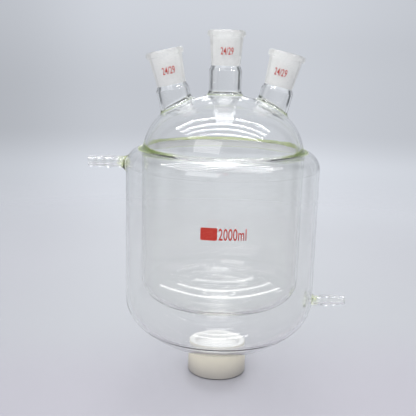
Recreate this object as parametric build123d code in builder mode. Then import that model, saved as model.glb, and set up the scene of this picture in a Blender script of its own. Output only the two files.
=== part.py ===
from build123d import *
from math import asin, cos, degrees, radians, sin, sqrt
import os

# Jacketed three neck reaction flask of 2000 ml, standing in a low round stand.
# Millimetres, +Z up along the flask's axis, origin at the middle of the stand's underside.
# The flask is one piece of fused glass with two separate hollows: the vessel, open through the
# necks, and the jacket space around it, open through the hose barbs.

# Stand
stand_diameter = 52.0
stand_height = 23.6
stand_rim_width = 5.0
stand_recess_depth = 8.0
stand_edge_round = 1.2
seat_width = 2.6  # how much of the rim's width carries the flask

# Jacket, outside sizes
jacket_diameter = 166.4
jacket_wall = 2.8
jacket_crown = 109.0  # radius of the bottom's middle
jacket_knuckle = 34.0  # radius of the bottom's turn into the side
jacket_side_top = 188.6
shoulder_overlap = 1.1  # how far the shoulder's curve runs in past the vessel's side

# Inner vessel, outside sizes
jacket_gap = 11.1  # clear width of the jacket space beside the vessel
vessel_wall = 2.8
vessel_crown = 158.0
vessel_knuckle = 19.0
bottom_gap = 38.2  # clear height of the jacket space under the vessel
dome_crown = 92.0
dome_knuckle = 46.0
weld_drop = 3.2  # the dome's curve starts this far below the inside of the jacket's top
seam_round = 2.0
seam_inner_round = 1.5

# Necks with 24/29 ground sockets, whose diameter tapers by one part in ten
socket_mouth = 24.0
socket_length = 29.0
socket_taper = 0.1
socket_outside = 28.4  # under the bead
socket_waist = 24.4
waist_length = 4.0
bead_diameter = 32.0
bead_height = 5.6
bead_round = 2.0
mouth_chamfer = 0.5
neck_diameter = 27.8
neck_wall = 2.3
neck_weld_round = 4.0
neck_inner_round = 5.0
neck_reach = 9.0  # how far a neck's tube runs in past the dome before it is trimmed
centre_neck_height = 52.2  # rim above the dome
side_neck_height = 46.0
side_neck_spread = 41.3  # where a side neck's axis leaves the dome, from the flask's axis
side_neck_tilt = 13.4

# Hose barbs
barb_length = 31.8  # from the jacket's side to the tip
barb_bore = 5.6
barb_tube = 9.6
barb_valley_root = 9.0
barb_valley_tip = 7.6
barb_ridge_root = 11.2
barb_ridge_tip = 9.2
barb_ridges = 3
barb_ridge_pitch = 7.0
barb_tip_round = 0.5
barb_weld_round = 5.5
barb_inner_round = 3.5
upper_barb_lift = 1.9  # axis above the top of the jacket's straight side
lower_barb_drop = 7.4  # axis below the bottom of the jacket's straight side

jacket_radius = jacket_diameter / 2
vessel_radius = jacket_radius - jacket_wall - jacket_gap
shoulder_radius = jacket_wall + jacket_gap + shoulder_overlap
neck_radius = neck_diameter / 2


def sphere_rise(crown, radius):
    return crown - sqrt(crown**2 - radius**2)


def crown_turn(radius, crown, knuckle):
    return degrees(asin((radius - knuckle) / (crown - knuckle)))


def dish_depth(radius, crown, knuckle):
    return crown - (crown - knuckle) * cos(radians(crown_turn(radius, crown, knuckle)))


# A barb's radius between its ridges, some way along them
def valley_radius(share):
    return (barb_valley_root + share * (barb_valley_tip - barb_valley_root)) / 2


# Heights that follow from the sizes above
seat_radius = stand_diameter / 2 - stand_rim_width + seat_width
jacket_bottom = stand_height - sphere_rise(jacket_crown, seat_radius)
vessel_bottom = jacket_bottom + jacket_wall + bottom_gap
shoulder_top = jacket_side_top + shoulder_radius
upper_barb_height = jacket_side_top + upper_barb_lift
jacket_side_bottom = jacket_bottom + dish_depth(jacket_radius, jacket_crown, jacket_knuckle)
lower_barb_height = jacket_side_bottom - lower_barb_drop
dome_start = shoulder_top - jacket_wall - weld_drop
dome_top = dome_start + dish_depth(vessel_radius, dome_crown, dome_knuckle)
side_neck_root = dome_top - sphere_rise(dome_crown, side_neck_spread)


# Draws a dished bottom from the axis out to the side, and the side up to side_top
def dished_wall(radius, crown, knuckle, bottom, side_top):
    turn = crown_turn(radius, crown, knuckle)
    middle = JernArc((0, bottom), (1, 0), crown, turn)
    corner = JernArc(middle @ 1, middle % 1, knuckle, 90 - turn)
    return Line(corner @ 1, (radius, side_top))


# Draws the vessel's closed half outline, inset from its outside by a wall
def vessel_outline(inset):
    radius = vessel_radius - inset
    crown = dome_crown - inset
    knuckle = dome_knuckle - inset
    bottom = vessel_bottom + inset
    side = dished_wall(radius, vessel_crown - inset, vessel_knuckle - inset, bottom, dome_start)
    turn = crown_turn(radius, crown, knuckle)
    corner = JernArc(side @ 1, side % 1, knuckle, 90 - turn)
    middle = JernArc(corner @ 1, corner % 1, crown, turn)
    Line(middle @ 1, (0, bottom))


# Draws the jacket's closed half outline, inset from its outside by a wall
def jacket_outline(inset):
    radius = jacket_radius - inset
    bottom = jacket_bottom + inset
    side = dished_wall(radius, jacket_crown - inset, jacket_knuckle - inset, bottom, jacket_side_top)
    shoulder = JernArc(side @ 1, side % 1, shoulder_radius - inset, 90)
    lid = Line(shoulder @ 1, (0, shoulder_top - inset))
    Line(lid @ 1, (0, bottom))


# One neck: the rim is at the local origin and the tube runs down -Z
tube_length = max(centre_neck_height, side_neck_height) + neck_reach
waist_end = -socket_length - waist_length

with BuildPart() as neck_glass:
    with BuildSketch(Plane.XZ):
        with BuildLine():
            mouth = Line((0, 0), (bead_diameter / 2 - bead_round, 0))
            bead_upper = JernArc(mouth @ 1, mouth % 1, bead_round, -90)
            bead_side = Line(bead_upper @ 1, (bead_diameter / 2, bead_round - bead_height))
            bead_lower = JernArc(bead_side @ 1, bead_side % 1, bead_round, -90)
            Polyline(
                bead_lower @ 1,
                (socket_outside / 2, -bead_height),
                (socket_waist / 2, -socket_length),
                (neck_radius, waist_end),
                (neck_radius, -tube_length),
                (0, -tube_length),
                (0, 0),
            )
        make_face()
    revolve(axis=Axis.Z)

socket_end = socket_mouth - socket_taper * socket_length
neck_bore_radius = neck_radius - neck_wall

with BuildPart() as neck_bore:
    with BuildSketch(Plane.XZ):
        with BuildLine():
            Polyline(
                (0, 0),
                (socket_mouth / 2 + mouth_chamfer, 0),
                (socket_mouth / 2, -mouth_chamfer),
                (socket_end / 2, -socket_length),
                (neck_bore_radius, waist_end),
                (neck_bore_radius, -tube_length),
                (0, -tube_length),
                close=True,
            )
        make_face()
    revolve(axis=Axis.Z)

# One hose barb: the jacket's side is at the local origin and the tip is up +Z
barb_reach = (jacket_radius - vessel_radius) / 2
ridges_start = barb_length - barb_ridges * barb_ridge_pitch

with BuildPart() as barb_glass:
    with BuildSketch(Plane.XZ):
        with BuildLine():
            Polyline(
                (valley_radius(0), ridges_start),
                (barb_tube / 2, ridges_start),
                (barb_tube / 2, -barb_reach),
                (0, -barb_reach),
                (0, barb_length),
                (valley_radius(1), barb_length),
            )
            for ridge in range(barb_ridges):
                share = ridge / max(barb_ridges - 1, 1)
                ridge_diameter = barb_ridge_root + share * (barb_ridge_tip - barb_ridge_root)
                foot = ridges_start + ridge * barb_ridge_pitch
                ThreePointArc(
                    (valley_radius(ridge / barb_ridges), foot),
                    (ridge_diameter / 2, foot + barb_ridge_pitch / 2),
                    (valley_radius((ridge + 1) / barb_ridges), foot + barb_ridge_pitch),
                )
        make_face()
    revolve(axis=Axis.Z)
    fillet(barb_glass.edges().group_by(Axis.Z)[-1], barb_tip_round)

with BuildPart() as barb_bore_space:
    with BuildSketch(Plane.XY.offset(-barb_reach)):
        Circle(barb_bore / 2)
    extrude(amount=barb_reach + barb_length)

# Where the necks and barbs go
centre_neck = Plane(origin=(0, 0, dome_top + centre_neck_height))
neck_seats = [centre_neck]
barb_seats = []
for side, barb_height in ((-1, upper_barb_height), (1, lower_barb_height)):
    tilt = radians(side_neck_tilt)
    lean = Vector(side * sin(tilt), 0, cos(tilt))
    root = Vector(side * side_neck_spread, 0, side_neck_root)
    neck_seats.append(Plane(origin=root + lean * side_neck_height, z_dir=lean))
    barb_seats.append(Plane(origin=(side * jacket_radius, 0, barb_height), z_dir=(side, 0, 0)))

# The two hollows, each with its ways out
with BuildPart() as vessel_space:
    with BuildSketch(Plane.XZ):
        with BuildLine():
            vessel_outline(vessel_wall)
        make_face()
    revolve(axis=Axis.Z)
    with Locations(*neck_seats):
        add(neck_bore.part)
    fillet(vessel_space.edges(Select.NEW), neck_inner_round)

with BuildPart() as jacket_space:
    with BuildSketch(Plane.XZ) as jacket_section:
        with BuildLine():
            jacket_outline(jacket_wall)
        make_face()
        with BuildLine():
            vessel_outline(0)
        make_face(mode=Mode.SUBTRACT)
        weld_corner = (vessel_radius, shoulder_top - jacket_wall)
        fillet(jacket_section.vertices().sort_by_distance(weld_corner)[0], seam_inner_round)
    revolve(axis=Axis.Z)
    with Locations(*barb_seats):
        add(barb_bore_space.part)
    fillet(jacket_space.edges(Select.NEW), barb_inner_round)

# The flask
with BuildPart() as flask:
    with BuildSketch(Plane.XZ) as glass_section:
        with BuildLine():
            jacket_outline(0)
        make_face()
        with BuildLine():
            vessel_outline(0)
        make_face()
        fillet(glass_section.vertices().sort_by_distance((vessel_radius, shoulder_top))[0], seam_round)
    revolve(axis=Axis.Z)
    with Locations(*neck_seats):
        add(neck_glass.part)
    fillet(flask.edges(Select.NEW), neck_weld_round)
    with Locations(*barb_seats):
        add(barb_glass.part)
    fillet(flask.edges(Select.NEW), barb_weld_round)
    add(vessel_space.part, mode=Mode.SUBTRACT)
    add(jacket_space.part, mode=Mode.SUBTRACT)

# The stand, with its rim let in to the curve of the flask's bottom
with BuildPart() as stand:
    with BuildSketch():
        Circle(stand_diameter / 2)
    extrude(amount=stand_height)
    fillet(stand.edges().filter_by(GeomType.CIRCLE), stand_edge_round)
    with BuildSketch(Plane.XY.offset(stand_height)):
        Circle(stand_diameter / 2 - stand_rim_width)
    extrude(amount=-stand_recess_depth, mode=Mode.SUBTRACT)
    with Locations((0, 0, jacket_bottom + jacket_crown)):
        Sphere(jacket_crown, mode=Mode.SUBTRACT)

os.makedirs("parts", exist_ok=True)
flask.part.label = "flask"
stand.part.label = "stand"
export_step(flask.part, "parts/flask.step")
export_step(stand.part, "parts/stand.step")
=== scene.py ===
import bmesh
import bpy
from math import cos, pi, radians, sin, tan
from mathutils import Matrix, Vector


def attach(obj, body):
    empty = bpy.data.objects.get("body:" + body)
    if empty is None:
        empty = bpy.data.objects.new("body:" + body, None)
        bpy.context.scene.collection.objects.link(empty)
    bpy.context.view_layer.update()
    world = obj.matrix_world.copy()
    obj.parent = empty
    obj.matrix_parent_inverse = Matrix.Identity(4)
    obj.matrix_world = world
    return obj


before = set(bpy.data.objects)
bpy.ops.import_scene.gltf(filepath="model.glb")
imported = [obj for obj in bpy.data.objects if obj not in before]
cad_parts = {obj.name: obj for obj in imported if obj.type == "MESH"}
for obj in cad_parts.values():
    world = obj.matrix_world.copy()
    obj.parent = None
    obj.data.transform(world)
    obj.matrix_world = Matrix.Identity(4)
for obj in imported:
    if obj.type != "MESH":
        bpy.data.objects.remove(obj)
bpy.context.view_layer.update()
print("frame loaded")

mm = 0.001

# Places of the glass that the looks and the printing have to follow, in millimetres
glass = {
    "jacketRadius": 83.2,
    "seamRadius": 69.3,
    "seamHeight": 202.6,
    "domeTop": 249.9425,
    "domeCrown": 92.0,
    "neckRadius": 13.9,
    "beadHeight": 5.6,
    "socketRadius": 14.2,  # outside, under the bead
    "socketCone": 1.0 / 11.7,  # what that radius loses for each millimetre down
    "footDepth": {"centre": 51.0, "left": 45.0, "right": 45.0},  # from a rim down to its neck's weld
    "centreRim": (0.0, 0.0, 302.1375),
    "sideRim": (51.96, 0.0, 284.894),
    "sideTilt": 13.4,
    "barbHeights": (190.5, 66.0),
}


def neckFrames():  # rim centre and outward direction of each neck
    tilt = radians(glass["sideTilt"])
    x, y, z = glass["sideRim"]
    return {
        "centre": (Vector(glass["centreRim"]), Vector((0, 0, 1))),
        "left": (Vector((-x, y, z)), Vector((-sin(tilt), 0, cos(tilt)))),
        "right": (Vector((x, y, z)), Vector((sin(tilt), 0, cos(tilt)))),
    }


# A node output that takes part in sums
class Wire:
    def __init__(self, bench, socket):
        self.bench = bench
        self.socket = socket

    def __add__(self, other): return self.bench.maths("ADD", self, other)
    def __radd__(self, other): return self.bench.maths("ADD", other, self)
    def __sub__(self, other): return self.bench.maths("SUBTRACT", self, other)
    def __rsub__(self, other): return self.bench.maths("SUBTRACT", other, self)
    def __mul__(self, other): return self.bench.maths("MULTIPLY", self, other)
    def __rmul__(self, other): return self.bench.maths("MULTIPLY", other, self)
    def __truediv__(self, other): return self.bench.maths("DIVIDE", self, other)
    def __rtruediv__(self, other): return self.bench.maths("DIVIDE", other, self)
    def __pow__(self, other): return self.bench.maths("POWER", self, other)
    def __rpow__(self, other): return self.bench.maths("POWER", other, self)
    def __neg__(self): return self.bench.maths("MULTIPLY", self, -1.0)
    def size(self): return self.bench.maths("ABSOLUTE", self)
    def root(self): return self.bench.maths("SQRT", self)
    def lesser(self, other): return self.bench.maths("MINIMUM", self, other)
    def greater(self, other): return self.bench.maths("MAXIMUM", self, other)

    def ramp(self, start, end, low=0.0, high=1.0):  # smooth step from low to high
        return self.bench.node("ShaderNodeMapRange", {"interpolation_type": "SMOOTHSTEP"}, {
            "Value": self, "From Min": start, "From Max": end, "To Min": low, "To Max": high})

    def band(self, rise, fall):  # full between two smooth steps
        return self.ramp(*rise) * self.ramp(*fall)


# One material's or world's node tree
class Bench:
    def __init__(self, tree):
        self.tree = tree
        tree.nodes.clear()

    def fill(self, socket, value):
        if isinstance(value, Wire):
            self.tree.links.new(value.socket, socket)
        else:
            socket.default_value = value

    def node(self, kind, settings={}, inputs={}, out=0):
        made = self.tree.nodes.new(kind)
        for name, value in settings.items():
            setattr(made, name, value)
        for name, value in inputs.items():
            self.fill(made.inputs[name], value)
        return Wire(self, made.outputs[out]) if len(made.outputs) else made

    def maths(self, operation, a, b=None):
        inputs = {0: a} if b is None else {0: a, 1: b}
        return self.node("ShaderNodeMath", {"operation": operation}, inputs)

    def vector(self, operation, a, b=None, out=0, scale=None):
        inputs = {0: a}
        if b is not None:
            inputs[1] = b
        if scale is not None:
            inputs["Scale"] = scale
        return self.node("ShaderNodeVectorMath", {"operation": operation}, inputs, out)

    def split(self, vector):
        made = self.tree.nodes.new("ShaderNodeSeparateXYZ")
        self.fill(made.inputs[0], vector)
        return [Wire(self, made.outputs[k]) for k in range(3)]

    def blend(self, factor, a, b):  # colours
        return self.node("ShaderNodeMix", {"data_type": "RGBA"}, {0: factor, 6: a, 7: b}, 2)

    def mix(self, factor, first, second):  # shaders
        return self.node("ShaderNodeMixShader", {}, {0: factor, 1: first, 2: second})

    def bump(self, height, strength, distance):
        return self.node("ShaderNodeBump", {}, {
            "Strength": strength, "Distance": distance, "Height": height})

    def noise(self, where, scale, detail=2.0, roughness=0.5):
        return self.node("ShaderNodeTexNoise", {}, {
            "Vector": where, "Scale": scale, "Detail": detail, "Roughness": roughness})

    def stretch(self, where, factors):  # draws a pattern out along an axis
        return self.vector("MULTIPLY", where, factors)

    def millimetres(self):  # the object's own coordinates
        return self.vector("SCALE", self.node("ShaderNodeTexCoord", out=3), scale=1000.0)

    def rays(self, *kinds):  # what the light path node says of each kind of ray
        made = self.tree.nodes.new("ShaderNodeLightPath")
        return [Wire(self, made.outputs["Is " + kind + " Ray"]) for kind in kinds]


def newMaterial(name):
    made = bpy.data.materials.new(name)
    made.use_nodes = True
    return made, Bench(made.node_tree)


# Clear glass with ground sockets and green-tinted welds, painted dark lines on the necks, painted
# shade at the seam's ends and a painted light patch under the seam
glassLook = {
    "ior": 1.474,
    "body": (1.0, 0.999, 0.994, 1),
    "bodyLow": (0.983, 0.981, 0.975, 1),
    "weldTint": (0.88, 0.96, 0.66, 1),
    "weldMilk": (0.74, 0.86, 0.33, 1),
    "weldPale": (0.90, 0.98, 0.55, 1),
    "weldEndShade": (0.17, 0.235, 0.055, 1),  # painted shade: the weld's own green, darkened at the seam's two ends where it is seen edge-on
    "footTint": (0.58, 0.66, 0.40, 1),
    # painted light: a pale patch under the seam at the back, standing in for a highlight line over
    # glass that would show dark
    "underSeamLight": (0.80, 0.82, 0.82, 1),
    "tubeEdgeShade": (0.05, 0.055, 0.055, 1),  # painted shade: dark lines where a neck's bore is seen along its wall
    # How strong those painted dark lines are, at the left and right of each neck
    "tubeShade": {"centre": (0.85, 1.0), "left": (0.85, 0.5), "right": (0.2, 1.0)},
    # What a surface leaves of the light on its way to other pieces, and the same beside the stand
    "passing": (0.985, 0.985, 0.985, 1),
    "passingLow": (0.925, 0.925, 0.93, 1),
    "thickTint": (0.80, 0.93, 0.78, 1),  # what long paths through the wall turn to
    "thickDensity": 6.0,
    # Waves of blown glass: long streaks, wide ripples, and the welds' own
    "striaeStretch": (0.22, 0.22, 0.012),
    "rippleStretch": (0.03, 0.03, 0.09),
    "weldRippleScale": 0.35,
    "waveShares": (0.5, 0.8, 2.5),
    "waveDepth": 0.00004,
    "waveStrength": 0.35,
    "groundWhite": (0.97, 0.975, 0.97, 1),
    "groundScuff": (0.84, 0.85, 0.85, 1),
    "groundRoughness": 0.55,
    "groundClearness": 0.25,
    "groundGrain": 0.0001,
    "milkRoughness": 0.2,
    # How milky each weld is
    "seamMilk": 0.78,
    "seamFrontLoss": 0.6,
    "footMilk": 0.12,
    "rootMilk": 0.35,
    # and how strongly the painted light patch under the seam shows
    "underLightShare": 0.9,
}

# Where the glass changes its look: smooth steps from none to full, in millimetres
glassEdges = {
    "bore": (12.75, 12.55),  # from a neck's axis
    "taperedBore": (12.7, 12.5),
    "boreTaper": 0.03,
    "ground": ((0.3, 0.7), (29.4, 28.9)),  # below a rim
    "aboveTube": (34.0, 30.0),  # no weld this high on a neck
    "tubeWall": ((11.9, 12.1), (15.2, 14.4)),  # from a neck's axis
    "tubeTop": (28.9, 29.5),  # below a rim
    "tubeFade": 4.0,  # over the weld at the tube's foot
    "tubeAcross": (-5.0, 5.0),
    "grazing": ((0.31, 0.41), (0.60, 0.50)),  # slant at which the painted dark lines show, 0 to 1
    "front": (-30.0, -58.0),  # y
    "back": (5.0, 40.0),  # y
    "backRise": 2.4,  # the seam sits higher at the back
    "seamInset": 1.0,
    "seamWander": 2.0,  # how uneven its edges are
    "seamWidth": (3.4, 1.8),
    "seamSwell": 1.8,  # at its two ends
    "seamSwellSpan": (45.0, 15.0),
    "faintAcross": (52.0, 36.0),  # x of the seam's faint stretch in front
    "faintAlong": (0.0, -25.0),
    "faintness": 0.88,
    "endShadeAcross": (40.0, 52.0),  # x of its painted dark ends
    "endShadeAlong": (15.0, -15.0, 0.45, 1.0),  # y, and their share behind and in front
    "overDome": ((1.5, 0.7), (-1.2, 0.2)),
    "footWidth": (2.4, 1.0),
    "rootReach": (9.5, 5.5),  # from where a barb's axis meets the jacket's side
    "rootBreaks": (0.4, 0.65),
    "underBack": (0.0, 12.0),  # a painted light patch under the seam, at the back
    "underHeight": ((203.9, 203.2), (196.5, 198.0)),
    "underRadius": ((63.0, 64.0), (73.0, 71.0)),
    "bottoms": (200.0, 190.0),  # below this the glass is a little greyer
    "besideStand": (24.0, 34.0),  # radius
    "overStand": (95.0, 75.0),  # z
    "outOfReach": 50.0,  # more than any distance that counts
}


# Depth below a rim, distance from its axis and place across it
def neckPlace(bench, where, rim, lean):
    offset = bench.vector("SUBTRACT", where, tuple(rim))
    along = bench.vector("DOT_PRODUCT", offset, tuple(lean), out=1)
    across = bench.vector("CROSS_PRODUCT", offset, tuple(lean))
    aside = bench.vector("DOT_PRODUCT", offset, (lean.z, 0.0, -lean.x), out=1)
    return -along, bench.vector("LENGTH", across, out=1), aside


def neckMasks(bench, where):  # ground sockets, distance from the tubes, and where the tubes' walls take painted dark lines
    edges = glassEdges
    ground, tubeShadeMask = 0.0, 0.0
    nearTube = edges["outOfReach"]
    for name, (rim, lean) in neckFrames().items():
        depth, distance, aside = neckPlace(bench, where, rim, lean)
        bore = distance.ramp(*edges["bore"])
        bore = bore * (distance + depth * edges["boreTaper"]).ramp(*edges["taperedBore"])
        ground = ground + bore * depth.band(*edges["ground"])
        tube = (distance - glass["neckRadius"]).size()
        nearTube = (tube + depth.ramp(*edges["aboveTube"]) * edges["outOfReach"]).lesser(nearTube)
        foot = glass["footDepth"][name]
        along = depth.band(edges["tubeTop"], (foot, foot - edges["tubeFade"]))
        shade = aside.ramp(*edges["tubeAcross"], *glassLook["tubeShade"][name])
        tubeShadeMask = tubeShadeMask + distance.band(*edges["tubeWall"]) * along * shade
    return ground, nearTube, tubeShadeMask


def seamMaskOf(bench, where, x, y, z, radius):  # the ring where the jacket closes on the dome
    edges = glassEdges
    atBack = y.ramp(*edges["back"])
    rise = z - glass["seamHeight"] - atBack * edges["backRise"]
    aside = radius - glass["seamRadius"] + edges["seamInset"]
    wander = (bench.noise(where, 0.06, 3.0) - 0.5) * edges["seamWander"]
    swell = y.size().ramp(*edges["seamSwellSpan"]) * edges["seamSwell"] - atBack
    mask = ((aside ** 2.0 + rise ** 2.0).root() + wander - swell).ramp(*edges["seamWidth"])
    faint = x.size().ramp(*edges["faintAcross"]) * y.ramp(*edges["faintAlong"])
    return mask * (1.0 - faint * edges["faintness"])


def footMaskOf(bench, where, nearTube):  # the weld round each neck's foot, on the dome
    middle = (0.0, 0.0, glass["domeTop"] - glass["domeCrown"])
    away = bench.vector("LENGTH", bench.vector("SUBTRACT", where, middle), out=1)
    overDome = (away - glass["domeCrown"]).band(*glassEdges["overDome"])
    return overDome * nearTube.ramp(*glassEdges["footWidth"])


def rootMaskOf(bench, where):  # the welds of the two hose barbs
    offsets = []
    for side, barbHeight in zip((-1.0, 1.0), glass["barbHeights"]):
        away = bench.vector("SUBTRACT", where, (side * glass["jacketRadius"], 0.0, barbHeight))
        offsets.append(bench.vector("LENGTH", away, out=1))
    return offsets[0].lesser(offsets[1]).ramp(*glassEdges["rootReach"])


def makeGlass():
    look, edges = glassLook, glassEdges
    made, bench = newMaterial("clearGlass")
    where = bench.millimetres()
    x, y, z = bench.split(where)
    radius = (x * x + y * y).root()
    ground, nearTube, tubeShadeMask = neckMasks(bench, where)
    seamMask = seamMaskOf(bench, where, x, y, z, radius)
    footMask = footMaskOf(bench, where, nearTube)
    rootMask = rootMaskOf(bench, where)
    underLight = y.ramp(*edges["underBack"]) * z.band(*edges["underHeight"])
    underLight = underLight * radius.band(*edges["underRadius"])

    striae = bench.noise(bench.stretch(where, look["striaeStretch"]), 1.0, 3.0)
    ripples = bench.noise(bench.stretch(where, look["rippleStretch"]), 1.0, 2.0)
    weldRipple = bench.noise(where, look["weldRippleScale"], 2.0)
    weld = seamMask.greater(footMask * 0.8)
    streaked, rippled, welded = look["waveShares"]
    height = striae * streaked + ripples * rippled + weldRipple * weld * welded
    waves = bench.bump(height, look["waveStrength"], look["waveDepth"])

    grazing = bench.node("ShaderNodeLayerWeight", {}, {"Blend": 0.5}, 1)
    colour = bench.blend(z.ramp(*edges["bottoms"]), look["body"], look["bodyLow"])
    colour = bench.blend(seamMask, colour, look["weldTint"])
    colour = bench.blend(footMask, colour, look["footTint"])
    # Painted shade: dark lines along the necks' walls where they are seen at a slant
    colour = bench.blend(grazing.band(*edges["grazing"]) * tubeShadeMask, colour, look["tubeEdgeShade"])
    clear = bench.node("ShaderNodeBsdfPrincipled", {}, {
        "Base Color": colour, "Roughness": 0.0, "IOR": look["ior"],
        "Transmission Weight": 1.0, "Normal": waves})

    # Painted shade: the seam darker at its two ends
    seamEndShade = x.size().ramp(*edges["endShadeAcross"]) * y.ramp(*edges["endShadeAlong"]) * seamMask
    milkColour = bench.blend(weldRipple, look["weldMilk"], look["weldPale"])
    milkColour = bench.blend(seamEndShade, milkColour, look["weldEndShade"])
    # Painted light: a pale patch under the seam at the back
    milkColour = bench.blend(underLight, milkColour, look["underSeamLight"])
    milk = bench.node("ShaderNodeBsdfPrincipled", {}, {
        "Base Color": milkColour, "Roughness": look["milkRoughness"], "IOR": look["ior"],
        "Normal": waves})
    seamMilk = seamMask * (look["seamMilk"] - y.ramp(*edges["front"]) * look["seamFrontLoss"])
    rootMilk = rootMask * weldRipple.ramp(*edges["rootBreaks"]) * look["rootMilk"]
    milkShare = seamMilk.greater(footMask * look["footMilk"]).greater(rootMilk)
    fused = bench.mix(milkShare.greater(underLight * look["underLightShare"]), clear, milk)

    # Ground sockets
    grain = bench.noise(where, 2.2, 3.0)
    scuffs = bench.noise(bench.stretch(where, (0.5, 0.5, 2.6)), 1.0, 2.0)
    matt = bench.node("ShaderNodeBsdfPrincipled", {}, {
        "Base Color": bench.blend(scuffs.ramp(0.3, 0.75), look["groundWhite"], look["groundScuff"]),
        "Roughness": grain * 0.2 + (look["groundRoughness"] - 0.1),
        "IOR": look["ior"], "Transmission Weight": look["groundClearness"],
        "Normal": bench.bump(grain + scuffs * 0.5, 0.3, look["groundGrain"])})
    whole = bench.mix(ground, fused, matt)

    # Light on its way to other pieces passes straight through, so they are lit without caustics
    shadow, diffuse = bench.rays("Shadow", "Diffuse")
    passing = bench.mix(
        radius.ramp(*edges["besideStand"]) * z.ramp(*edges["overStand"]),
        bench.node("ShaderNodeBsdfTransparent", {}, {"Color": look["passing"]}),
        bench.node("ShaderNodeBsdfTransparent", {}, {"Color": look["passingLow"]}))
    surface = bench.mix(shadow.greater(diffuse) * (1.0 - ground), whole, passing)
    inside = bench.node("ShaderNodeVolumeAbsorption", {}, {
        "Color": look["thickTint"], "Density": look["thickDensity"]})
    bench.node("ShaderNodeOutputMaterial", {}, {"Surface": surface, "Volume": inside})
    return made


# Cast cream-white stand, with painted light on its top and painted shade low down and at its foot
standLook = {
    "cream": (0.93, 0.88, 0.735, 1),
    "pale": (0.97, 0.92, 0.765, 1),
    # painted light: the top paler and whiter, where light gathered by the flask's bottom falls on it
    "top": (0.88, 0.88, 0.89, 1),
    # painted shade: darker towards the bottom, where less light reaches
    "low": (0.43, 0.405, 0.385, 1),
    "foot": (0.10, 0.098, 0.095, 1),  # painted contact shadow where the stand meets the table
    "lowShadeSpan": (22.0, -4.0),  # z, in millimetres
    "topSpan": (25.9, 25.5),  # radius
    "footShadowSpan": (1.5, 1.0),
    "roughness": 0.55,
    "grain": 0.0002,
}


def makeStandFinish():
    look = standLook
    made, bench = newMaterial("creamStand")
    where = bench.millimetres()
    x, y, z = bench.split(where)
    cloud = bench.noise(where, 0.07, 3.0)
    speck = bench.noise(where, 1.6, 4.0)
    colour = bench.blend(cloud.ramp(0.3, 0.7), look["cream"], look["pale"])
    # Painted shade low down, painted light on the top, and a painted contact shadow at the foot
    colour = bench.blend(z.ramp(*look["lowShadeSpan"]), colour, look["low"])
    colour = bench.blend((x * x + y * y).root().ramp(*look["topSpan"]), colour, look["top"])
    colour = bench.blend((z + speck * 0.6).ramp(*look["footShadowSpan"]), colour, look["foot"])
    skin = bench.node("ShaderNodeBsdfPrincipled", {}, {
        "Base Color": colour, "Roughness": speck * 0.16 + (look["roughness"] - 0.08),
        "Normal": bench.bump(speck + cloud * 0.6, 0.35, look["grain"])})
    bench.node("ShaderNodeOutputMaterial", {}, {"Surface": skin})
    return made


# Fired red enamel of the printing
enamelLook = {
    "red": (0.60, 0.032, 0.018, 1),
    "worn": (0.66, 0.085, 0.055, 1),
    "wear": (0.45, 0.72),
    "roughness": 0.3,
    "grain": 0.00005,
}


def makeEnamel():
    look = enamelLook
    made, bench = newMaterial("redEnamel")
    where = bench.millimetres()
    patch = bench.noise(where, 0.9, 4.0, 0.65)
    dots = bench.noise(where, 4.0, 2.0)
    skin = bench.node("ShaderNodeBsdfPrincipled", {}, {
        "Base Color": bench.blend(patch.ramp(*look["wear"]), look["red"], look["worn"]),
        "Roughness": dots * 0.2 + look["roughness"],
        "Normal": bench.bump(dots + patch, 0.25, look["grain"])})
    bench.node("ShaderNodeOutputMaterial", {}, {"Surface": skin})
    return made


clearGlass = makeGlass()
creamStand = makeStandFinish()
redEnamel = makeEnamel()
for name, finish in (("flask", clearGlass), ("stand", creamStand)):
    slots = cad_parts[name].data.materials
    slots.clear()
    slots.append(finish)
print("materials made")


# Printing: generic figures and a plain block, bent round the glass. Sizes and places in millimetres
printing = {
    "thickness": 0.08,
    "facing": -95.0,  # azimuth of the front, degrees
    "volumeMark": {"text": "2000ml", "height": 9.4, "squeeze": 0.55, "bold": 0.13,
                   "up": 147.6, "across": 9.4},
    "block": {"width": 13.0, "height": 9.9, "corner": 1.2, "up": 148.2, "across": -9.0},
    "socketMark": {"text": "24/29", "height": 6.0, "squeeze": 0.56, "bold": 0.04, "down": 17.4,
                   "across": {"centre": 0.8, "left": 1.2, "right": -2.4}},
    "socketLift": 0.04,  # clear of the socket's taper
    "capHeight": 0.72,  # of the lettering's size
    "spacing": 1.04,
    "cornerSteps": 6,
    "stripWidth": 0.8,
    "doubles": 0.002,
    "shellDoubles": 0.004,
}


def socketInput(tree, name, kind, value=None):
    made = tree.interface.new_socket(name=name, in_out="INPUT", socket_type=kind)
    if value is not None:
        made.default_value = value


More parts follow.
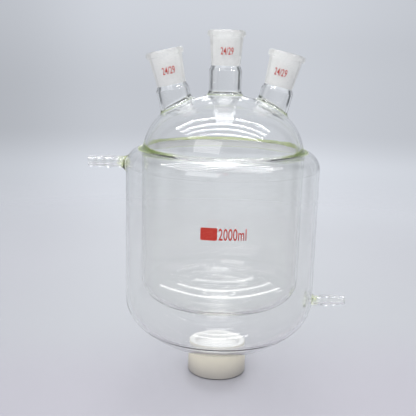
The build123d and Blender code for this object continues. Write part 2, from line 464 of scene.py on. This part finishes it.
# Node tree: bends flat printing round a cone about +Z, front at -Y, by arc length along the surface
def makeBendTree():
    tree = bpy.data.node_groups.new("bendRoundGlass", "GeometryNodeTree")
    socketInput(tree, "Geometry", "NodeSocketGeometry")
    socketInput(tree, "Radius", "NodeSocketFloat", 0.08)
    socketInput(tree, "Cone", "NodeSocketFloat", 0.0)  # change of radius for each unit up
    socketInput(tree, "Thickness", "NodeSocketFloat", 0.0001)
    socketInput(tree, "Finish", "NodeSocketMaterial")
    tree.interface.new_socket(name="Geometry", in_out="OUTPUT", socket_type="NodeSocketGeometry")
    nodes, links = tree.nodes, tree.links
    given = nodes.new("NodeGroupInput").outputs
    result = nodes.new("NodeGroupOutput")

    def place(kind, settings={}, inputs={}):
        made = nodes.new(kind)
        for name, value in settings.items():
            setattr(made, name, value)
        for name, value in inputs.items():
            if hasattr(value, "is_output"):
                links.new(value, made.inputs[name])
            else:
                made.inputs[name].default_value = value
        return made

    def maths(operation, a, b=0.0):
        return place("ShaderNodeMath", {"operation": operation}, {0: a, 1: b}).outputs[0]

    thick = place("GeometryNodeExtrudeMesh", {}, {
        "Mesh": given["Geometry"], "Offset Scale": given["Thickness"], "Individual": False})
    flipped = place("GeometryNodeFlipFaces", {}, {"Mesh": given["Geometry"]})
    both = place("GeometryNodeJoinGeometry")
    links.new(thick.outputs["Mesh"], both.inputs["Geometry"])
    links.new(flipped.outputs["Mesh"], both.inputs["Geometry"])
    shell = place("GeometryNodeMergeByDistance", {}, {
        "Geometry": both.outputs[0], "Distance": printing["shellDoubles"] * mm})
    spot = place("GeometryNodeInputPosition")
    x, y, z = place("ShaderNodeSeparateXYZ", {}, {0: spot.outputs[0]}).outputs
    base = maths("ADD", given["Radius"], maths("MULTIPLY", y, given["Cone"]))
    turn = maths("DIVIDE", x, given["Radius"])
    out = maths("SUBTRACT", maths("ADD", base, z), given["Thickness"])
    newX = maths("MULTIPLY", out, maths("SINE", turn))
    newY = maths("MULTIPLY", maths("MULTIPLY", out, maths("COSINE", turn)), -1.0)
    newSpot = place("ShaderNodeCombineXYZ", {}, {0: newX, 1: newY, 2: y})
    bent = place("GeometryNodeSetPosition", {}, {
        "Geometry": shell.outputs[0], "Position": newSpot.outputs[0]})
    loose = place("GeometryNodeRealizeInstances", {}, {"Geometry": bent.outputs[0]})
    done = place("GeometryNodeSetMaterial", {}, {
        "Geometry": loose.outputs[0], "Material": given["Finish"]})
    links.new(done.outputs[0], result.inputs[0])
    return tree


bendTree = makeBendTree()


def finalMesh(holder):  # the mesh that an object ends in, and the object is cleared away
    bpy.context.scene.collection.objects.link(holder)
    bpy.context.view_layer.update()
    graph = bpy.context.evaluated_depsgraph_get()
    mesh = bpy.data.meshes.new_from_object(holder.evaluated_get(graph))
    bpy.data.objects.remove(holder)
    return mesh


def textMesh(mark):  # flat lettering, centred
    curve = bpy.data.curves.new("lettering", "FONT")
    curve.body = mark["text"]
    curve.align_x = "CENTER"
    curve.align_y = "CENTER"
    curve.resolution_u = 6
    curve.size = mark["height"] / printing["capHeight"] * mm
    curve.space_character = printing["spacing"]
    curve.offset = mark["bold"] * mm
    mesh = finalMesh(bpy.data.objects.new("lettering", curve))
    mesh.transform(Matrix.Diagonal((mark["squeeze"], 1, 1, 1)))
    return mesh


def blockMesh(mark):  # plain rounded rectangle
    corner, steps = mark["corner"], printing["cornerSteps"]
    points = []
    for right, up, start in ((1, 1, 0), (-1, 1, 90), (-1, -1, 180), (1, -1, 270)):
        for step in range(steps + 1):
            angle = radians(start + step * 90 / steps)
            points.append(((right * (mark["width"] / 2 - corner) + corner * cos(angle)) * mm,
                           (up * (mark["height"] / 2 - corner) + corner * sin(angle)) * mm, 0))
    mesh = bpy.data.meshes.new("block")
    mesh.from_pydata(points, [], [tuple(range(len(points)))])
    return mesh


def cutIntoStrips(mesh):  # so that wide faces can follow the curve
    work = bmesh.new()
    work.from_mesh(mesh)
    bmesh.ops.remove_doubles(work, verts=work.verts, dist=printing["doubles"] * mm)
    across = [v.co.x for v in work.verts]
    width = printing["stripWidth"] * mm
    at, end = min(across) + width, max(across)
    while at < end:
        bmesh.ops.bisect_plane(work, geom=work.verts[:] + work.edges[:] + work.faces[:],
                               dist=0.001 * mm, plane_co=(at, 0, 0), plane_no=(1, 0, 0))
        at += width
    bmesh.ops.recalc_face_normals(work, faces=work.faces)
    if sum(face.normal.z for face in work.faces) < 0:
        bmesh.ops.reverse_faces(work, faces=work.faces)
    work.to_mesh(mesh)
    work.free()


def bendOn(name, mesh, across, radius, cone, place):
    mesh.transform(Matrix.Translation((across * mm, 0, 0)))
    cutIntoStrips(mesh)
    flat = bpy.data.objects.new(name + "Flat", mesh)
    bend = flat.modifiers.new("bend", "NODES")
    bend.node_group = bendTree
    inputs = {item.name: item.identifier for item in bendTree.interface.items_tree
              if item.item_type == "SOCKET" and item.in_out == "INPUT"}
    for title, value in (("Radius", radius * mm), ("Cone", cone),
                         ("Thickness", printing["thickness"] * mm), ("Finish", redEnamel)):
        bend[inputs[title]] = value
    result = finalMesh(flat)
    result.name = name
    result.transform(place)
    piece = bpy.data.objects.new(name, result)
    bpy.context.scene.collection.objects.link(piece)
    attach(piece, "root")


facing = Matrix.Rotation(radians(printing["facing"] + 90.0), 4, "Z")  # turns -Y to the front
for name, mark, makeMesh in (("volumePrint", printing["volumeMark"], textMesh),
                             ("blockPrint", printing["block"], blockMesh)):
    place = facing @ Matrix.Translation((0, 0, mark["up"] * mm))
    bendOn(name, makeMesh(mark), mark["across"], glass["jacketRadius"], 0.0, place)

mark = printing["socketMark"]
narrowing = (mark["down"] - glass["beadHeight"]) * glass["socketCone"]
outside = glass["socketRadius"] - narrowing + printing["socketLift"]
for name, (rim, lean) in neckFrames().items():
    upright = Vector((0, 0, 1)).rotation_difference(lean).to_matrix().to_4x4()
    place = Matrix.Translation((rim - lean * mark["down"]) * mm) @ upright @ facing
    bendOn(name + "SocketPrint", textMesh(mark), mark["across"][name], outside,
           glass["socketCone"], place)
print("printing made")


# Camera: millimetres and degrees, fitted to the rims, seam, outline and stand
viewpoint = {
    "distance": 598.4, "height": 282.1, "turn": -5.0,
    "pitch": 12.41, "yaw": 1.116, "roll": 1.568,
    "focal": 60.47,
}


def makeCamera():
    pitch, yaw, roll = (radians(viewpoint[name]) for name in ("pitch", "yaw", "roll"))
    forward = Vector((-sin(yaw) * cos(pitch), cos(yaw) * cos(pitch), -sin(pitch)))
    level = Vector((cos(yaw), sin(yaw), 0))
    upright = level.cross(forward)
    right = cos(roll) * level + sin(roll) * upright
    up = cos(roll) * upright - sin(roll) * level
    pose = Matrix((right, up, -forward)).transposed().to_4x4()
    pose.translation = Vector((0, -viewpoint["distance"], viewpoint["height"])) * mm
    data = bpy.data.cameras.new("studioCamera")
    data.sensor_width = 36.0
    data.lens = viewpoint["focal"]
    data.clip_start = 0.01
    data.clip_end = 50.0
    holder = bpy.data.objects.new("studioCamera", data)
    holder.matrix_world = Matrix.Rotation(radians(viewpoint["turn"]), 4, "Z") @ pose
    bpy.context.scene.collection.objects.link(holder)
    bpy.context.scene.camera = holder


# Backdrop and even light: smooth steps over x and z of a ray's direction, from none to full
air = {
    "colour": (0.957, 1.0, 1.085, 1),
    "level": 0.578,
    "above": (-0.06, 0.08), "aboveGain": 0.08,
    "horizon": ((-0.10, -0.165), (-0.28, -0.19)), "horizonGain": 0.14,
    "below": (-0.16, -0.28), "belowGain": 0.045,
    "sideFade": (-0.45, -0.2, 0.2, 1.0),  # the sides' losses shrink downwards
    "left": (-0.06, -0.24), "leftLoss": 0.19,
    "right": (0.15, 0.38), "rightLoss": 0.12,
    "glowAcross": (0.07, 0.19), "glowGain": 0.08,  # brighter patch at the right
    "glowUp": (0.03, -0.05),
    "glowGap": ((-0.14, -0.17), (-0.215, -0.195)), "gapLoss": 0.6,
    "flag": ((0.82, 0.88), (0.965, 0.93)), "flagDarkness": 0.5,
    "fillLow": 0.30,  # even light from the sides
    "fillHigh": 1.65,  # and from straight above
    "fillUnder": (-0.02, -0.06), "fillBelow": 0.6,
}


def makeAir():
    world = bpy.data.worlds.new("studioAir")
    world.use_nodes = True
    bench = Bench(world.node_tree)
    camera, glossy, through = bench.rays("Camera", "Glossy", "Transmission")
    x, y, z = bench.split(bench.node("ShaderNodeTexCoord", out=0))
    level = air["level"] + z.ramp(*air["above"]) * air["aboveGain"]
    level = level + z.band(*air["horizon"]) * air["horizonGain"]
    level = level + z.ramp(*air["below"]) * air["belowGain"]
    sideFade = z.ramp(*air["sideFade"])
    level = level * (1.0 - x.ramp(*air["left"]) * sideFade * air["leftLoss"])
    level = level * (1.0 - x.ramp(*air["right"]) * sideFade * air["rightLoss"])
    glow = z.ramp(*air["glowUp"]) * (1.0 - z.band(*air["glowGap"]) * air["gapLoss"])
    level = level * (1.0 + x.ramp(*air["glowAcross"]) * glow * air["glowGain"])
    # Dark flags stand off to the sides, where only bent light meets them
    side = (x / (x * x + y * y).root().greater(0.001)).size()
    bentOnly = glossy.greater(through) * (1.0 - camera)
    level = level * (1.0 - side.band(*air["flag"]) * bentOnly * (1.0 - air["flagDarkness"]))
    backdrop = bench.node("ShaderNodeBackground", {}, {"Color": air["colour"], "Strength": level})
    height = z.greater(0.0)
    fill = height * height * (air["fillHigh"] - air["fillLow"]) + air["fillLow"]
    fill = fill.greater(z.ramp(*air["fillUnder"]) * air["fillBelow"])
    plain = bench.node("ShaderNodeBackground", {}, {"Color": (1, 1, 1, 1), "Strength": fill})
    seen = camera.greater(glossy).greater(through)
    bench.node("ShaderNodeOutputWorld", {}, {"Surface": bench.mix(seen, plain, backdrop)})
    bpy.context.scene.world = world


# Pale floor that fades into the backdrop, with painted shade in front and towards the sides, in
# metres
floorLook = {
    # painted shade: near darker than far, and side darker, where the light falls off in front and
    # towards the left and right
    "near": (0.436, 0.430, 0.485, 1),
    "far": (0.449, 0.466, 0.501, 1),
    "fleck": (0.44, 0.445, 0.48, 1),
    "side": (0.37, 0.37, 0.415, 1),
    "depth": (-0.02, 0.17),  # y
    "left": (-0.08, -0.26), "leftShade": 0.4,  # x
    "right": (0.10, 0.34), "rightShade": 0.3,
    "fade": (0.35, 1.1),
    "radius": 1.4,
    "corners": 96,
    "roughness": 0.62,
    "grain": 0.0002,
}


def makeFloor():
    look = floorLook
    made, bench = newMaterial("paleFloor")
    where = bench.node("ShaderNodeTexCoord", out=3)
    x, y = bench.split(where)[:2]
    soft = bench.noise(where, 3.0, 2.0)
    grain = bench.noise(where, 420.0, 3.0)
    # Painted shade towards the left and right, and in front
    sides = x.ramp(*look["left"]) * look["leftShade"] + x.ramp(*look["right"]) * look["rightShade"]
    colour = bench.blend((y + soft * 0.08).ramp(*look["depth"]), look["near"], look["far"])
    colour = bench.blend(grain.ramp(0.4, 0.7) * 0.12, colour, look["fleck"])
    colour = bench.blend(sides, colour, look["side"])
    paper = bench.node("ShaderNodeBsdfPrincipled", {}, {
        "Base Color": colour, "Roughness": soft * 0.1 + look["roughness"],
        "Normal": bench.bump(grain, 0.1, look["grain"])})
    gone = bench.node("ShaderNodeBsdfTransparent")
    away = bench.vector("LENGTH", where, out=1)
    surface = bench.mix(away.ramp(*look["fade"]), paper, gone)
    bench.node("ShaderNodeOutputMaterial", {}, {"Surface": surface})

    points = []
    for k in range(look["corners"]):
        turn = k * 2 * pi / look["corners"]
        points.append((cos(turn) * look["radius"], sin(turn) * look["radius"], 0))
    mesh = bpy.data.meshes.new("floor")
    mesh.from_pydata(points, [], [tuple(range(len(points)))])
    mesh.materials.append(made)
    floor = bpy.data.objects.new("floor", mesh)
    bpy.context.scene.collection.objects.link(floor)


# Lamps: two softboxes, and rows of narrow ones that only show as glints on the glass, in metres
lamps = {
    "frontBox": {"size": (1.4, 1.0), "place": (-0.9, -1.6, 1.3), "power": 10.0},
    "backBox": {"size": (0.4, 0.4), "place": (0.1, 1.0, 1.0), "power": 7.4},
    "strips": {"size": (1.7, 0.022), "height": 0.95, "turn": -6.0, "glow": 42.0,
               "rows": (0.06, -0.14, -0.31, -0.50)},
    "panel": {"size": (0.2, 0.75), "place": (0.02, 0.21, 0.95), "glow": 3.2},
    "backStrips": {"size": (0.34, 0.04), "across": 0.06, "away": 1.0, "glow": 4.2,
                   "elevations": (48.0, 37.0, 27.0)},  # degrees
    "middle": (0, 0, 0.12),
    "lowMiddle": (0, 0, 0.065),  # of the vessel's bottom, where the back strips show
}


def addBox(name, look, target, glints=True, fill=True, turn=0.0):
    lamp = bpy.data.lights.new(name, "AREA")
    lamp.shape = "RECTANGLE"
    lamp.size, lamp.size_y = look["size"]
    lamp.energy = look["power"]
    holder = bpy.data.objects.new(name, lamp)
    holder.location = look["place"]
    holder.visible_diffuse = fill
    holder.visible_glossy = holder.visible_transmission = glints
    aim = (Vector(target) - Vector(look["place"])).to_track_quat("-Z", "Y").to_matrix()
    holder.rotation_euler = (Matrix.Rotation(radians(turn), 3, "Z") @ aim).to_euler()
    bpy.context.scene.collection.objects.link(holder)


def addGlint(name, look, place, target, turn=0.0):  # glow is the brightness that it shows
    width, depth = look["size"]
    box = {"size": look["size"], "place": place, "power": look["glow"] * pi * width * depth}
    addBox(name, box, target, fill=False, turn=turn)


def addGlints():
    strips, panel, backStrips = (lamps[name] for name in ("strips", "panel", "backStrips"))
    for k, row in enumerate(strips["rows"]):  # these show on the dome
        place = (0.0, row, strips["height"])
        addGlint("strip" + str(k), strips, place, (0.0, row, 0), strips["turn"])
    x, y = panel["place"][:2]  # this one shows under the centre neck
    addGlint("panel", panel, panel["place"], (x, y, 0), viewpoint["turn"])
    low = lamps["lowMiddle"]
    for k, elevation in enumerate(backStrips["elevations"]):  # these show low in the vessel
        away = backStrips["away"]
        place = (backStrips["across"], away, low[2] + away * tan(radians(elevation)))
        addGlint("backStrip" + str(k), backStrips, place, low)


makeAir()
makeFloor()
addBox("frontSoftbox", lamps["frontBox"], lamps["middle"])
addBox("backSoftbox", lamps["backBox"], (0, 0, 0), glints=False)
addGlints()
print("studio made")

makeCamera()
scene = bpy.context.scene
scene.view_settings.view_transform = "Standard"
# Enough bounces for light to cross every wall of the glass
scene.cycles.max_bounces = 28
scene.cycles.transmission_bounces = 26
scene.cycles.glossy_bounces = 8
scene.cycles.transparent_max_bounces = 12
print("camera made")
